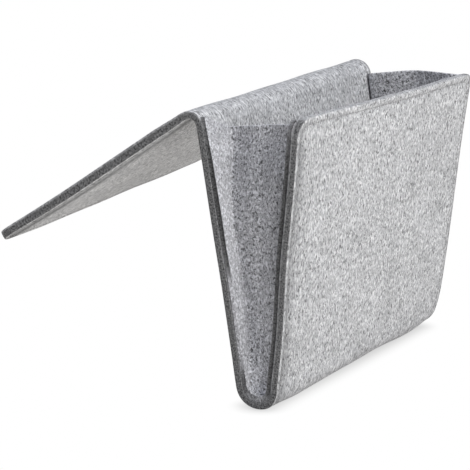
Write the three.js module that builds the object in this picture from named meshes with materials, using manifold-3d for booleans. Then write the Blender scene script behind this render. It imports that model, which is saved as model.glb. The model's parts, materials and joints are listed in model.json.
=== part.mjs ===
// Bedside caddy cut from thick grey felt: a long sheet folds over at the top into a flap that is
// trapped under a mattress, hangs down as the back panel, turns up round the bottom and ends as the
// front panel. Two folded felt gussets close the sides of the pocket, and thread is sewn round the edge.
// Millimetres, +X to the right, +Y to the bed, +Z up. The origin is the middle of the flap's underside.

import * as THREE from 'three';
import { mergeVertices } from 'three/addons/utils/BufferGeometryUtils.js';
import Module from 'manifold-3d';

// Main sheet
const WIDTH = 320;
const FELT = 6;
const FLAP_LENGTH = 206;
const BACK_LENGTH = 218;
const FRONT_LENGTH = 227;
const CORNER_RADIUS = 18;

// Folds: radii are on the inside of each bend, angles in degrees as the caddy hangs open
const BOTTOM_BEND_RADIUS = 13;
const TOP_BEND_RADIUS = 9;
const BACK_LEAN = 10.4;
const FRONT_LEAN = 5.9;
const FLAP_DROP = 32.5;

// Gussets: how far each web stands in from the side edge, how much further in it leans at the top, and
// how far its middle bows in (+) or out (-)
const GUSSET_FELT = 4;
const GUSSET_FOLD_RADIUS = 6;
const GUSSET_TOP_DROP = 8;
const CLIMB_FADE = 4;
const LEFT_WEB_DEPTH = 20;
const LEFT_WEB_LEAN = 16;
const LEFT_WEB_BOW = 1;
const RIGHT_WEB_DEPTH = 13;
const RIGHT_WEB_LEAN = 0;
const RIGHT_WEB_BOW = -14;
const LEAN_START = 0.5;

// Sewing thread, which pulls itself into a groove along the edge
const THREAD = 0.9;
const THREAD_SINK = 0.1;
const STITCH_INSET = 5.8;

// Clearance between pieces that touch
const SEAT_GAP = 0.3;

// Fineness of the round forms
const BEND_FACETS = 24;
const CORNER_FACETS = 8;
const FOLD_FACETS = 5;
const WEB_FACETS = 6;
const WALL_STATIONS = 8;
const CORNER_STATIONS = 6;
const TURN_STATIONS = 12;
const THREAD_HALF_SIDES = 3;
const GROOVE_HALF_SIDES = 4;
const THREAD_STEP = 8;
const THREAD_TURN_STEP = 4;

const radians = THREE.MathUtils.degToRad;
const back = radians(BACK_LEAN);
const front = radians(FRONT_LEAN);
const drop = radians(FLAP_DROP);
const bottomOuterRadius = BOTTOM_BEND_RADIUS + FELT;
const threadDepth = THREAD_SINK + THREAD / 2;
const grooveRadius = THREAD_SINK + THREAD + SEAT_GAP;

const wasm = await Module();
wasm.setup();

const felt = new THREE.MeshStandardMaterial({ color: 0xb9babd, roughness: 0.95, metalness: 0 });
const gussetFelt = new THREE.MeshStandardMaterial({ color: 0xa9aaae, roughness: 0.95, metalness: 0 });
const thread = new THREE.MeshStandardMaterial({ color: 0x8d8e92, roughness: 0.7, metalness: 0 });

// Turns a drawing in the XY plane so that it is seen from the caddy's right-hand end
const END_VIEW = new THREE.Matrix4().makeBasis(
  new THREE.Vector3(0, 1, 0),
  new THREE.Vector3(0, 0, 1),
  new THREE.Vector3(1, 0, 0),
);

function named(name, geometry, material) {
  const mesh = new THREE.Mesh(geometry, material);
  mesh.name = name;
  return mesh;
}

// Closed body for cutting, with its shared corners merged
function body(geometry) {
  const bare = geometry.clone();
  bare.deleteAttribute('normal');
  bare.deleteAttribute('uv');
  const merged = mergeVertices(bare);
  return new wasm.Manifold(new wasm.Mesh({
    numProp: 3,
    vertProperties: Float32Array.from(merged.attributes.position.array),
    triVerts: Uint32Array.from(merged.index.array),
  }));
}

function cut(geometry, tools) {
  const left = tools.reduce((rest, tool) => rest.subtract(body(tool)), body(geometry)).getMesh();
  const result = new THREE.BufferGeometry();
  result.setAttribute('position', new THREE.BufferAttribute(left.vertProperties, 3));
  result.setIndex(new THREE.BufferAttribute(left.triVerts, 1));
  result.computeVertexNormals();
  return result;
}

// Round bar along a path
function tube(path, radius, halfSides, step) {
  const section = new THREE.Shape();
  section.absarc(0, 0, radius, 0, 2 * Math.PI, false);
  return new THREE.ExtrudeGeometry(section, {
    steps: Math.ceil(path.getLength() / step),
    curveSegments: halfSides,
    bevelEnabled: false,
    extrudePath: path,
  });
}

// Flat panel that starts at its fold, y = 0, and ends at a free edge with rounded corners
// or, with no corner radius, at the next fold
function panelGeometry(length, corner) {
  const half = WIDTH / 2;
  const outline = new THREE.Shape();
  outline.moveTo(-half, SEAT_GAP);
  outline.lineTo(half, SEAT_GAP);
  if (corner > 0) {
    outline.absarc(half - corner, length - corner, corner, 0, Math.PI / 2, false);
    outline.absarc(corner - half, length - corner, corner, Math.PI / 2, Math.PI, false);
  } else {
    outline.lineTo(half, length - SEAT_GAP);
    outline.lineTo(-half, length - SEAT_GAP);
  }
  return new THREE.ExtrudeGeometry(outline, {
    depth: FELT,
    bevelEnabled: false,
    curveSegments: CORNER_FACETS,
  });
}

// Bent stretch of the sheet: a ring sector across the whole width
function bendGeometry(radius, from, to) {
  const outline = new THREE.Shape();
  outline.absarc(0, 0, radius + FELT, from, to, false);
  outline.absarc(0, 0, radius, to, from, true);
  const geometry = new THREE.ExtrudeGeometry(outline, {
    depth: WIDTH,
    bevelEnabled: false,
    curveSegments: BEND_FACETS,
  });
  geometry.translate(0, 0, -WIDTH / 2);
  geometry.applyMatrix4(END_VIEW);
  return geometry;
}

// Line of stitches round the three free edges of a panel, on the plane at height z, from y = start
function edgeRoute(length, z, start) {
  const half = WIDTH / 2 - STITCH_INSET;
  const end = length - STITCH_INSET;
  const turn = CORNER_RADIUS - STITCH_INSET;
  const point = (x, y) => new THREE.Vector3(x, y, z);
  const path = new THREE.CurvePath();
  const line = (from, to) => path.add(new THREE.LineCurve3(from, to));
  const corner = (from, by, to) => path.add(new THREE.QuadraticBezierCurve3(from, by, to));
  line(point(-half, start), point(-half, end - turn));
  corner(point(-half, end - turn), point(-half, end), point(turn - half, end));
  line(point(turn - half, end), point(half - turn, end));
  corner(point(half - turn, end), point(half, end), point(half, end - turn));
  line(point(half, end - turn), point(half, start));
  return path;
}

// Panel that ends at a free edge, with a groove on one face and thread in it
function sewnPanel(name, threadName, length, face, inwards) {
  const groove = tube(edgeRoute(length, face, 0), grooveRadius, GROOVE_HALF_SIDES, THREAD_STEP);
  const route = edgeRoute(length, face + inwards * threadDepth, SEAT_GAP);
  return [
    named(name, cut(panelGeometry(length, CORNER_RADIUS), [groove]), felt),
    named(threadName, tube(route, THREAD / 2, THREAD_HALF_SIDES, THREAD_STEP), thread),
  ];
}

// Line of stitches down the back panel and round the bottom bend, at a radius from the bend's centre
class SideRoute extends THREE.Curve {
  constructor(side, radius, overrun) {
    super();
    this.x = side * (WIDTH / 2 - STITCH_INSET);
    this.radius = radius;
    this.straight = BACK_LENGTH + overrun;
    this.round = radius * (Math.PI - back - front) + overrun;
  }

  getPoint(share, target = new THREE.Vector3()) {
    const run = share * (this.straight + this.round);
    if (run < this.straight) {
      return target.set(this.x, this.straight - run, -this.radius);
    }
    const angle = (run - this.straight) / this.radius;
    return target.set(this.x, -this.radius * Math.sin(angle), -this.radius * Math.cos(angle));
  }
}

// Wedge between the back and front panels, in the end view, with the bottom bend's centre at 0, 0.
// Its middle line runs up from that centre, and its sections lie square to the middle line.
const halfWedge = (back + front) / 2;
const middleTilt = (back - front) / 2;
const middleUp = new THREE.Vector2(Math.sin(middleTilt), Math.cos(middleTilt));
const towardsBack = new THREE.Vector2(Math.cos(middleTilt), -Math.sin(middleTilt));
const wallUp = {
  back: new THREE.Vector2(Math.sin(back), Math.cos(back)),
  front: new THREE.Vector2(-Math.sin(front), Math.cos(front)),
};
const shorterWall = Math.min(BACK_LENGTH + TOP_BEND_RADIUS, FRONT_LENGTH);
const gussetTop = shorterWall * Math.cos(halfWedge) - GUSSET_TOP_DROP;

// Distance from the middle line to the panel's inner face, at a height on the middle line
function wallReach(height) {
  return BOTTOM_BEND_RADIUS / Math.cos(halfWedge) + height * Math.tan(halfWedge);
}

// The same, from the bend's centre, in a direction turned down from the back panel's section
function turnReach(angle) {
  const fromWall = Math.min(angle, Math.PI - angle);
  if (fromWall < halfWedge) {
    return BOTTOM_BEND_RADIUS / Math.cos(halfWedge - fromWall);
  }
  return BOTTOM_BEND_RADIUS;
}

// Stations along the gusset's sewn edge: down the back panel, round the bottom and up the front panel
function gussetStations() {
  const stations = [];
  const wall = (side, direction, height) => {
    stations.push({
      foot: middleUp.clone().multiplyScalar(height),
      outwards: direction,
      reach: wallReach(height),
      spread: wallReach(height),
      up: wallUp[side],
      share: height / gussetTop,
      corner: side === 'front',
    });
  };
  const heights = [];
  for (let step = 1; step < WALL_STATIONS; step += 1) {
    heights.push(((gussetTop - CORNER_RADIUS) * step) / WALL_STATIONS);
  }
  for (let step = 0; step <= CORNER_STATIONS; step += 1) {
    heights.push(gussetTop - CORNER_RADIUS * (1 - step / CORNER_STATIONS));
  }
  heights.toReversed().forEach((height) => wall('back', towardsBack, height));
  for (let step = 0; step <= TURN_STATIONS; step += 1) {
    const angle = (Math.PI * step) / TURN_STATIONS;
    stations.push({
      foot: new THREE.Vector2(0, 0),
      outwards: towardsBack.clone().rotateAround(new THREE.Vector2(0, 0), -angle),
      reach: turnReach(angle),
      spread: wallReach(0),
      up: middleUp,
      share: 0,
      corner: false,
    });
  }
  const towardsFront = towardsBack.clone().negate();
  heights.forEach((height) => wall('front', towardsFront, height));
  return stations;
}

// How far a point out from the web climbs along the panel, so that the strip's top edge stays straight
function climb(station, out) {
  return out * Math.tan(halfWedge) * station.share ** CLIMB_FADE;
}

// How far the flange's edge is trimmed back to follow the front panel's rounded top corner
function cornerTrim(station, out) {
  const alongWall = station.foot.dot(station.up) + station.reach * Math.sin(halfWedge);
  const intoCorner = alongWall + climb(station, out) - (FRONT_LENGTH - CORNER_RADIUS);
  if (!station.corner || intoCorner <= 0) {
    return 0;
  }
  return CORNER_RADIUS - Math.sqrt(Math.max(0, CORNER_RADIUS ** 2 - intoCorner ** 2));
}

// One face of the folded gusset at a station, from the sewn edge over the fold to the middle of the web.
// Each point has its distance from the middle line, its depth in from the side edge and, on the
// flange, its distance out from the web.
function gussetProfile(gusset, station, face) {
  const radius = GUSSET_FOLD_RADIUS + (face * GUSSET_FELT) / 2;
  const flange = station.reach - SEAT_GAP - ((1 - face) * GUSSET_FELT) / 2;
  const foldAt = flange - radius;
  const lean = gusset.lean * Math.max(0, (station.share - LEAN_START) / (1 - LEAN_START));
  const webDepth = gusset.depth + lean;
  const foldDepth = webDepth - GUSSET_FOLD_RADIUS;
  const bow = (gusset.bow * station.spread) / wallReach(gussetTop);
  const edge = Math.min(cornerTrim(station, webDepth), foldDepth - SEAT_GAP);
  const points = [{ off: flange, depth: edge, out: webDepth - edge }];
  for (let i = 0; i <= FOLD_FACETS; i += 1) {
    const angle = (Math.PI / 2) * (i / FOLD_FACETS);
    const depth = foldDepth + radius * Math.sin(angle);
    points.push({
      off: foldAt + radius * Math.cos(angle),
      depth,
      out: Math.max(0, webDepth - depth),
    });
  }
  for (let i = 1; i <= WEB_FACETS; i += 1) {
    const across = 1 - i / WEB_FACETS;
    points.push({
      off: foldAt * across,
      depth: foldDepth + radius + (bow * (1 + Math.cos(Math.PI * across))) / 2,
      out: 0,
    });
  }
  return points;
}

// Felt side wall: a straight-cut strip folded to a channel, with flanges sewn to the panels' inner
// faces. Its straight top edge climbs along the flanges, because the folds lean apart.
function gusset(spec) {
  const stations = gussetStations();
  const columns = FOLD_FACETS + WEB_FACETS + 2;
  const positions = [];
  const place = (station, { off, depth, out }) => {
    const inEnd = station.foot
      .clone()
      .addScaledVector(station.outwards, off)
      .addScaledVector(station.up, climb(station, out));
    positions.push(spec.side * (WIDTH / 2 - depth), inEnd.x, inEnd.y);
  };
  for (const face of [1, -1]) {
    for (const station of stations) {
      gussetProfile(spec, station, face).forEach((point) => place(station, point));
    }
  }

  const faceSize = stations.length * columns;
  const at = (face, row, column) => face * faceSize + row * columns + column;
  const triangles = [];
  const quad = (a, b, c, d) => {
    const order = spec.side > 0 ? [a, b, c, a, c, d] : [a, c, b, a, d, c];
    triangles.push(...order);
  };
  const lastRow = stations.length - 1;
  for (let row = 0; row < lastRow; row += 1) {
    for (let column = 0; column < columns - 1; column += 1) {
      quad(at(0, row, column), at(0, row + 1, column), at(0, row + 1, column + 1), at(0, row, column + 1));
      quad(at(1, row, column), at(1, row, column + 1), at(1, row + 1, column + 1), at(1, row + 1, column));
    }
    quad(at(0, row, 0), at(1, row, 0), at(1, row + 1, 0), at(0, row + 1, 0));
  }
  for (let column = 0; column < columns - 1; column += 1) {
    quad(at(0, 0, column), at(0, 0, column + 1), at(1, 0, column + 1), at(1, 0, column));
    quad(
      at(0, lastRow, column),
      at(1, lastRow, column),
      at(1, lastRow, column + 1),
      at(0, lastRow, column + 1),
    );
  }
  return named(spec.name, weld(positions, triangles), gussetFelt);
}

// Shares the vertices that meet and leaves out the triangles that close up to nothing
function weld(positions, triangles) {
  const loose = new THREE.BufferGeometry();
  loose.setAttribute('position', new THREE.Float32BufferAttribute(positions, 3));
  loose.setIndex(triangles);
  const geometry = mergeVertices(loose, 1e-3);
  const index = Array.from(geometry.index.array);
  const kept = [];
  for (let i = 0; i < index.length; i += 3) {
    const [a, b, c] = index.slice(i, i + 3);
    if (a !== b && b !== c && c !== a) {
      kept.push(a, b, c);
    }
  }
  geometry.setIndex(kept);
  geometry.computeVertexNormals();
  return geometry;
}

// The pocket: back panel, both bends and the gussets, about the bottom bend's centre
const pocket = new THREE.Group();
const backGroup = new THREE.Group();
backGroup.rotation.x = Math.PI / 2 - back;
const sideGrooves = [];
for (const [name, side] of [['left_side_thread', -1], ['right_side_thread', 1]]) {
  const route = new SideRoute(side, bottomOuterRadius - threadDepth, -SEAT_GAP);
  backGroup.add(named(name, tube(route, THREAD / 2, THREAD_HALF_SIDES, THREAD_TURN_STEP), thread));
  const groovePath = new SideRoute(side, bottomOuterRadius, SEAT_GAP);
  sideGrooves.push(tube(groovePath, grooveRadius, GROOVE_HALF_SIDES, THREAD_TURN_STEP));
}
const backGrooves = sideGrooves.map((groove) => groove.clone().translate(0, 0, bottomOuterRadius));
const backPanel = named('back_panel', cut(panelGeometry(BACK_LENGTH, 0), backGrooves), felt);
backPanel.position.z = -bottomOuterRadius;
backGroup.add(backPanel);
pocket.add(backGroup);

const bottomBend = bendGeometry(BOTTOM_BEND_RADIUS, front - Math.PI, -back);
const bendGrooves = sideGrooves.map((groove) => groove.clone().rotateX(backGroup.rotation.x));
pocket.add(named('bottom_bend', cut(bottomBend, bendGrooves), felt));
pocket.add(gusset({
  name: 'left_gusset',
  side: -1,
  depth: LEFT_WEB_DEPTH,
  lean: LEFT_WEB_LEAN,
  bow: LEFT_WEB_BOW,
}));
pocket.add(gusset({
  name: 'right_gusset',
  side: 1,
  depth: RIGHT_WEB_DEPTH,
  lean: RIGHT_WEB_LEAN,
  bow: RIGHT_WEB_BOW,
}));

// The front panel swings about the bottom bend's centre
const frontGroup = new THREE.Group();
frontGroup.rotation.x = Math.PI / 2 + front;
const frontPieces = new THREE.Group();
frontPieces.position.z = BOTTOM_BEND_RADIUS;
frontPieces.add(...sewnPanel('front_panel', 'front_thread', FRONT_LENGTH, FELT, -1));
frontGroup.add(frontPieces);

// The flap swings about the top bend's centre, which lies behind the top of the back panel
const topCentre = new THREE.Vector2(bottomOuterRadius + TOP_BEND_RADIUS, BACK_LENGTH);
topCentre.rotateAround(new THREE.Vector2(0, 0), -back);
const flapGroup = new THREE.Group();
flapGroup.position.set(0, topCentre.x, topCentre.y);
const topBend = bendGeometry(TOP_BEND_RADIUS, Math.PI / 2 - drop, Math.PI - back);
flapGroup.add(named('top_bend', topBend, felt));
const flapTilt = new THREE.Group();
flapTilt.rotation.x = -drop;
const flapPieces = new THREE.Group();
flapPieces.position.z = TOP_BEND_RADIUS;
flapPieces.add(...sewnPanel('flap', 'flap_thread', FLAP_LENGTH, 0, 1));
flapTilt.add(flapPieces);
flapGroup.add(flapTilt);

// The middle of the flap's underside, where it lies on the bed base, is the origin
const held = new THREE.Vector2(FLAP_LENGTH / 2, TOP_BEND_RADIUS);
held.rotateAround(new THREE.Vector2(0, 0), -drop).add(topCentre);
const caddy = new THREE.Group();
caddy.add(pocket, frontGroup, flapGroup);
caddy.position.set(0, -held.x, -held.y);

export default caddy;
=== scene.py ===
"""Looks of a bedside caddy of thick grey felt: a long sheet folded into a flap, a back and a front panel,
a folded gusset at each side, and stitches along the edges. Metres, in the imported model's frame."""

import json
from math import cos, exp, pi, radians, sin, tan

import bmesh
import bpy
import numpy as np
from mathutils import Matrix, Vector

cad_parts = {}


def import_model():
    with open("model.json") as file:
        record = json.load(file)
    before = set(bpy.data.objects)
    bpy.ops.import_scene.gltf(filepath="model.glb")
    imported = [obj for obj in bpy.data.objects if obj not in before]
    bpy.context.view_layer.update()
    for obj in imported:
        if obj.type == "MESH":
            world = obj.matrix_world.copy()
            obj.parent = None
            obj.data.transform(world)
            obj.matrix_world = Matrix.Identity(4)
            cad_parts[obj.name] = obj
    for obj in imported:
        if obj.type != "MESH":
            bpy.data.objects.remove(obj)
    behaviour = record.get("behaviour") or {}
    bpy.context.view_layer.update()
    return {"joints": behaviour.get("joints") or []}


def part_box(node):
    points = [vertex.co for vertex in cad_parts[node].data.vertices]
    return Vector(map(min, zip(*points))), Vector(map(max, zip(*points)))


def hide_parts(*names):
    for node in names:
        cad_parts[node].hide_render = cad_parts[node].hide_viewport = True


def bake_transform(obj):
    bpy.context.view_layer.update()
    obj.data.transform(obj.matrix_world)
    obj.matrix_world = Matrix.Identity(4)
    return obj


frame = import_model()

# The long sheet, as cut. The flap looks thicker than the rest, and the front's right-hand corner is tighter
FELT = 0.006
FLAP_FELT = 0.008
FRONT_LENGTH = 0.227
BACK_LENGTH = 0.2186
FLAP_LENGTH = 0.2075
CORNER_RADIUS = 0.018
TIGHT_CORNER = 0.007
HALF_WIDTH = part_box("back_panel")[1].x

# Its bends, at the middle of the felt
BOTTOM_RADIUS = 0.013 + FELT / 2
TOP_RADIUS = 0.009 + FELT / 2

# How it hangs, in degrees at mid-width, and how much that changes from there to the right-hand end
BACK_LEAN, BACK_TWIST = 10.4, 0.37
FRONT_LEAN, FRONT_TWIST = 5.82, 1.10
FLAP_DROP, FLAP_TWIST = 32.64, -0.49

# How much more the flap drops by the fold, in degrees, and over what length that dies away
FLAP_SAG, FLAP_SAG_LENGTH = 1.96, 0.07

# How much longer the front, the back and the flap are at the right-hand end than at mid-width
FRONT_SLOPE = -0.0030
BACK_SLOPE = 0.0006
FLAP_SLOPE = -0.0176

# How far the front's top edge turns up towards its right-hand end, and between which places from -1 to 1
FRONT_RISE, FRONT_RISE_FROM, FRONT_RISE_TO = 0.0016, 0.35, 0.95

# How far the front bellies out above the bottom bend, in degrees at mid-width, how much that changes from
# there to the right-hand end, and over what length it dies away
FRONT_BELLY, FRONT_BELLY_TWIST, FRONT_BELLY_LENGTH = 1.85, 0.75, 0.04

# How much fuller than round the bottom bend is at its left-hand end, where and how widely, in radians from
# the front, and what share of it is gone by mid-width
BOTTOM_FULL, BOTTOM_FULL_TURN, BOTTOM_FULL_SPREAD, BOTTOM_FULL_LOSS = 0.0014, 0.75, 0.55, 0.4

# How far the sewing draws in the right-hand end of the bottom bend, how far that of the top bend spreads,
# and from where across the width
BOTTOM_DRAW, BOTTOM_DRAW_LENGTH = 0.005, 0.024
TOP_SPREAD, TOP_SPREAD_LENGTH = 0.002, 0.03
DRAW_FROM = 0.1

# The left-hand end of the top bend turns mostly in its middle: from where across, from -1 to 1, and how much
# longer the bend is there, as a share
TOP_CREASE_FROM, TOP_CREASE_STRETCH = -0.72, 0.088

# How far the flap's side edges curl up, and over what width
FLAP_CURL, FLAP_CURL_WIDTH = 0.0007, 0.02

# The lengths in which the flap gets its extra thickness and its curl past the fold, and in which it loses a
# share of the thickness by its free end
FLAP_START, FLAP_TAPER, FLAP_TAPER_SHARE = 0.03, 0.08, 0.35

# Cut edges and sewing
EDGE_ROUND = 0.0007
STITCH_INSET = 0.0058
STITCH_DENT, STITCH_DENT_WIDTH = 0.0007, 0.0016
STITCH_PITCH, STITCH_LENGTH = 0.0045, 0.0034
THREAD_RADIUS = 0.00045

# Gussets: the felt and its play to the sheet, how much thicker it is where it is gathered round the bottom,
# and where across the width it takes the panels' lean, from 0 to 1, and their unevenness
GUSSET_FELT = 0.004
GUSSET_GAP = 0.0002
GUSSET_BOTTOM_SWELL = 0.0015
GUSSET_LEAN_AT = 0.9
GUSSET_UNEVEN_AT = HALF_WIDTH - 0.008

# Tones along the sheet's cut edges, as shares of the felt's own. The rim has a painted highlight, more so
# at the left-hand end, and painted shade at the right-hand end
RIM_HIGHLIGHT, RIM_LEFT_HIGHLIGHT, RIM_RIGHT_SHADE = 0.05, 0.24, -0.5
RIM_MIDDLE, RIM_WIDTH = 0.0008, 0.0022

# The line of stitches is shaded: on the front and lower back, by the top bend, and how much more on the
# flap, reached a little past the fold. A right-hand edge has less of it
LINE_SHADE, LINE_SHADE_BEND, LINE_SHADE_FLAP, LINE_FLAP_START = 0.18, 0.08, 0.2, 0.02
LINE_RIGHT_LOSS, LINE_WIDTH = 0.6, 0.0014

# The felt that the stitches draw in along the front's left-hand edge is shaded, and so is the front by it
DRAWN_SHADE, DRAWN_MIDDLE, DRAWN_WIDTH = 0.30, 0.006, 0.011
FRONT_EDGE_SHADE, FRONT_EDGE_WIDTH = 0.08, 0.05

# The flap's underside is painted pale, as light from the floor falls on it. It is shaded towards its
# free end, from and to these distances from it, towards its left-hand edge, and along a line beside that
# edge
UNDER_FLOOR_LIGHT = 0.30
UNDER_END_SHADE, UNDER_END_FROM, UNDER_END_TO = 0.2, 0.13, 0.02
UNDER_EDGE_SHADE, UNDER_EDGE_WIDTH = 0.22, 0.045
UNDER_LINE_SHADE, UNDER_LINE_INSET, UNDER_LINE_WIDTH = 0.68, 0.018, 0.009

# Places on the flat sheet, measured along it from the front panel's top edge
V_BOTTOM = FRONT_LENGTH
V_BACK = V_BOTTOM + BOTTOM_RADIUS * radians(180 - BACK_LEAN - FRONT_LEAN)
V_TOP = V_BACK + BACK_LENGTH
V_FLAP = V_TOP + TOP_RADIUS * radians(90 - BACK_LEAN + FLAP_DROP)
V_END = V_FLAP + FLAP_LENGTH
V_SPLIT = V_BACK + BACK_LENGTH / 2
V_UNDER = (V_BOTTOM + V_BACK) / 2

# Places where the felt stands out or in: where across and along, how far out, and how wide each way
UNEVEN = [
    (-HALF_WIDTH, V_BOTTOM - 0.045, 0.0009, 0.07, 0.035),
    (-HALF_WIDTH, V_BOTTOM - 0.115, -0.0008, 0.07, 0.04),
    (-HALF_WIDTH, V_BACK + 0.085, -0.0012, 0.07, 0.045),
    (-HALF_WIDTH, V_BACK + 0.004, 0.0007, 0.07, 0.02),
    (-0.117, V_UNDER, 0.0011, 0.022, 0.022),
    (0.0, V_UNDER, -0.0005, 0.045, 0.022),
    (0.1, V_UNDER, 0.0010, 0.035, 0.022),
    (0.158, V_BOTTOM + 0.012, -0.0020, 0.024, 0.018),
    (-HALF_WIDTH, V_END, -0.0008, 0.1, 0.05),
]

# Gentle waves in it: how far out, how fast across and along in radians per metre, and where they start
WAVES = [
    (0.0003, 17, 11, 0.6),
    (0.0003, 31, -23, 2.1),
    (0.0002, 67, 41, 4.0),
]

# The bends turn about the joints, and the floor lies just below the lowest place of the uneven bottom bend
JOINTS = {joint["name"]: Vector(joint["pos_m"]) for joint in frame["joints"]}
BOTTOM_CENTRE = JOINTS["front_swing"]
FLOOR_DROP = 0.0018
FLOOR_LEVEL = BOTTOM_CENTRE.z - BOTTOM_RADIUS - FELT / 2 - FLOOR_DROP


def smooth(value, start, end):
    """0 up to start and 1 from end, with a soft rise between them. The end may lie before the start."""
    share = np.clip((value - start) / (end - start), 0, 1)
    return share * share * (3 - 2 * share)


def bell(value, middle, width):
    return np.exp(-(((value - middle) / width) ** 2))


def spaced(start, end, step):
    return np.linspace(start, end, max(2, round(abs(end - start) / step) + 1))


# The hanging sheet

# Lanes across the tables of its shape, and the length of a step along them
LANES = 17
STEP = 0.0005


def lean_at(across):
    """Lean of the back and front panels and drop of the flap, in radians, across the width from -1 to 1."""
    back = np.radians(BACK_LEAN + BACK_TWIST * across)
    front = np.radians(FRONT_LEAN + FRONT_TWIST * across)
    drop = np.radians(FLAP_DROP + FLAP_TWIST * across)
    return back, front, drop


def front_extra(across):
    """How much longer the front is than at mid-width."""
    return FRONT_SLOPE * across + FRONT_RISE * smooth(across, FRONT_RISE_FROM, FRONT_RISE_TO)


def belly_angle(across):
    return np.radians(FRONT_BELLY + FRONT_BELLY_TWIST * across)


def fuller(across, turn):
    """How far the bottom bend stands out from a round one, at a turn in radians from the front."""
    share = 1 - BOTTOM_FULL_LOSS * (1 + across)
    return BOTTOM_FULL * share * bell(turn, BOTTOM_FULL_TURN, BOTTOM_FULL_SPREAD)


def hang():
    """Tables of the sheet's middle surface: y, z and direction, by lane across and step along."""
    across = np.linspace(-1, 1, LANES)[:, None]
    along = np.arange(0, V_END + 2 * STEP, STEP)[None, :]
    back, front, drop = lean_at(across)
    down = front - pi / 2
    up = pi / 2 - back
    past_fold = np.clip(along - V_FLAP, 0, None)
    out = -drop - radians(FLAP_SAG) * np.exp(-past_fold / FLAP_SAG_LENGTH)
    bottom_turn = np.clip((along - V_BOTTOM) / (V_BACK - V_BOTTOM), 0, 1)
    top_turn = np.clip((along - V_TOP) / (V_FLAP - V_TOP), 0, 1)
    crease = smooth(across, TOP_CREASE_FROM, -1)
    top_turn = top_turn + crease * (smooth(top_turn, 0, 1) - top_turn)
    above_bend = np.clip(V_BOTTOM - along, 0, None)
    belly = belly_angle(across) * np.exp(-above_bend / FRONT_BELLY_LENGTH)
    angle = down + (up - down) * bottom_turn + (out - up) * top_turn + belly * (1 - bottom_turn)

    stretch = np.where(along < V_BOTTOM, 1 + front_extra(across) / FRONT_LENGTH, 1)
    stretch = np.where(along > V_BACK, 1 + BACK_SLOPE * across / BACK_LENGTH, stretch)
    in_top_bend = (along > V_TOP) & (along < V_FLAP)
    stretch = np.where(in_top_bend, stretch + TOP_CREASE_STRETCH * crease, stretch)
    stretch = np.where(along > V_FLAP, 1 + FLAP_SLOPE * across / FLAP_LENGTH, stretch)

    def run(rate):
        steps = (rate[:, 1:] + rate[:, :-1]) / 2 * STEP
        return np.concatenate([np.zeros((LANES, 1)), np.cumsum(steps, axis=1)], axis=1)

    y = run(np.cos(angle) * stretch)
    z = run(np.sin(angle) * stretch)
    anchor = round(V_UNDER / STEP)
    held = angle[:, anchor:anchor + 1]
    y += BOTTOM_CENTRE.y + BOTTOM_RADIUS * np.sin(held) - y[:, anchor:anchor + 1]
    z += BOTTOM_CENTRE.z - BOTTOM_RADIUS * np.cos(held) - z[:, anchor:anchor + 1]
    return y, z, angle


HANG_Y, HANG_Z, HANG_ANGLE = hang()


def ripple(x, v):
    """Gentle waves that keep the hanging felt from being flat, out of its surface."""
    return sum(out * np.sin(per_x * x + per_v * v + start) for out, per_x, per_v, start in WAVES)


def uneven(x, v):
    """How far the felt stands out where it isn't flat."""
    return sum(
        out * bell(x, at_x, wide_x) * bell(v, at_v, wide_v)
        for at_x, at_v, out, wide_x, wide_v in UNEVEN
    )


def drawn_in(x, v):
    """How far in the sheet's right-hand edge is from where it would be if it were straight."""
    bottom = BOTTOM_DRAW * bell(v, V_UNDER, BOTTOM_DRAW_LENGTH)
    top = TOP_SPREAD * bell(v, (V_TOP + V_FLAP) / 2, TOP_SPREAD_LENGTH)
    return (bottom - top) * smooth(x, DRAW_FROM, HALF_WIDTH)


def tightened(x, v):
    """Flat places with the front's right-hand corner drawn out to a tighter curve than the others have."""
    tiny = 1e-9
    a = np.clip((x - HALF_WIDTH) / CORNER_RADIUS + 1, 0, None)
    b = np.clip(1 - v / CORNER_RADIUS, 0, None)
    out = np.hypot(a, b)
    way_a, way_b = a / np.maximum(out, tiny), b / np.maximum(out, tiny)
    straight = 1 - TIGHT_CORNER / CORNER_RADIUS
    spread = straight * (way_a + way_b)
    arc = spread + np.sqrt(np.maximum(spread ** 2 - 2 * straight ** 2 + (1 - straight) ** 2, 0))
    flat_side = 1 / np.maximum(np.maximum(way_a, way_b), tiny)
    edge = np.where(flat_side * np.minimum(way_a, way_b) > straight, arc, flat_side)
    grown = np.where((a > 0) & (b > 0), (edge - 1) * out ** 2, 0) * CORNER_RADIUS
    return x + grown * a, v - grown * b


def on_sheet(flat):
    """Places in the frame of points on the flat sheet: across, along, and out of the sewn side."""
    x, v, n = np.asarray(flat, float).T
    x, v = tightened(x, v)
    x = x - drawn_in(x, v)
    thicker = smooth(v, V_TOP, V_FLAP + FLAP_START) - FLAP_TAPER_SHARE * smooth(v, V_END - FLAP_TAPER, V_END)
    n = n * (1 + (FLAP_FELT / FELT - 1) * thicker)
    lane = np.clip((x / HALF_WIDTH + 1) / 2 * (LANES - 1), 0, LANES - 1.001)
    step = np.clip(v / STEP, 0, HANG_Y.shape[1] - 1.001)
    i, j = lane.astype(int), step.astype(int)
    a, b = lane - i, step - j

    def look_up(table):
        near = table[i, j] * (1 - b) + table[i, j + 1] * b
        far = table[i + 1, j] * (1 - b) + table[i + 1, j + 1] * b
        return near * (1 - a) + far * a

    angle = look_up(HANG_ANGLE)
    curl = np.clip((np.abs(x) - HALF_WIDTH) / FLAP_CURL_WIDTH + 1, 0, None)
    out = n + ripple(x, v) - FLAP_CURL * curl ** 2 * smooth(v, V_FLAP, V_FLAP + FLAP_START)
    out = out + fuller(x / HALF_WIDTH, (v - V_BOTTOM) / BOTTOM_RADIUS) + uneven(x, v)
    y = look_up(HANG_Y) + out * np.sin(angle)
    z = look_up(HANG_Z) - out * np.cos(angle)
    return np.stack([x, y, z], axis=1)


# Skins of felt pieces

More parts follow.
